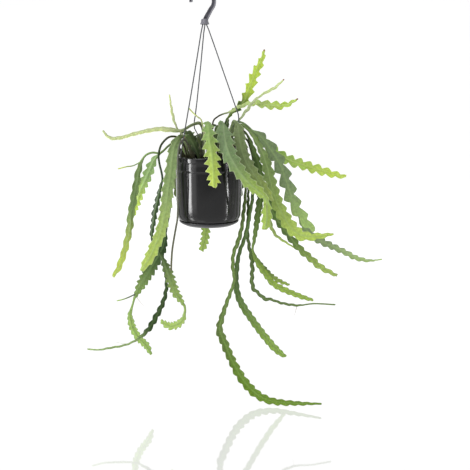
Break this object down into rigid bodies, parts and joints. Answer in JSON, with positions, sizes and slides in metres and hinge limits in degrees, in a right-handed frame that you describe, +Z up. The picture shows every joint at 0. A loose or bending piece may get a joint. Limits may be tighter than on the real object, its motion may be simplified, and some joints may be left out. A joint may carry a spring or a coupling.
{
  "type": "potted ric rac cactus",
  "caption": "Trailing cactus with flat zigzag stems in a hanging nursery pot with saucer, three strands and a plastic hook.",
  "frame": {"origin": "top of the inside of the hook, where the rail, rod or nail that carries the plant touches it", "axes": "+Z straight up, +X to the right as the plant is seen from the front, +Y towards the back; the pot's axis is 10 mm to the +X side of the origin"},
  "size_m": [0.6825, 0.2656, 0.923],
  "materials": {
    "pot_black": "glossy injection-moulded polypropylene, near black",
    "saucer_grey": "satin moulded polypropylene, dark grey",
    "potting_soil": "moist peat and bark, crumbly and matt",
    "hanger_grey": "satin moulded plastic, mid grey",
    "strand_grey": "satin drawn plastic rod, light grey",
    "stem_old_green": "waxy plant skin, old green",
    "stem_mid_green": "waxy plant skin, mid green to lime at the tips",
    "stem_lime": "waxy young plant skin, lime",
    "stem_dark_green": "waxy plant skin, dark green",
    "stem_pale_green": "waxy young plant skin, pale grey-green"
  },
  "bodies": {
    "root": {"pot": "pot_black", "saucer": "saucer_grey", "soil": "potting_soil", "hook": "hanger_grey", "strand_left": "strand_grey", "strand_right": "strand_grey", "strand_back": "strand_grey", "stem_front": "stem_mid_green", "stem_front_right_long": "stem_mid_green", "stem_front_right_broad": "stem_mid_green", "stem_young_spike": "stem_pale_green", "stem_right_zigzag": "stem_mid_green", "stem_right_lime": "stem_lime", "stem_right_grey": "stem_mid_green", "stem_right_dark": "stem_old_green", "stem_trailing_longest": "stem_dark_green", "stem_trailing_second": "stem_old_green", "stem_trailing_forked": "stem_dark_green", "stem_trailing_thin": "stem_dark_green", "stem_top_bud": "stem_lime", "stem_top_pale": "stem_pale_green", "stem_top_arching": "stem_lime", "stem_left_level": "stem_pale_green", "stem_left_upright": "stem_pale_green", "stem_left_broad": "stem_mid_green", "stem_left_wiry": "stem_dark_green", "stem_left_forked": "stem_mid_green", "stem_left_winding": "stem_old_green", "stem_left_dark": "stem_dark_green", "stem_left_tail": "stem_dark_green", "stem_back_hanging": "stem_mid_green", "stem_back_left": "stem_mid_green", "stem_back_middle": "stem_old_green", "stem_back_right": "stem_mid_green", "stem_back_far_right": "stem_old_green", "stem_back_far_left": "stem_mid_green", "stem_crown_left": "stem_old_green", "stem_crown_middle": "stem_dark_green", "stem_crown_front": "stem_old_green", "stem_crown_front_left": "stem_dark_green", "stem_crown_right": "stem_old_green"}
  },
  "joints": []
}
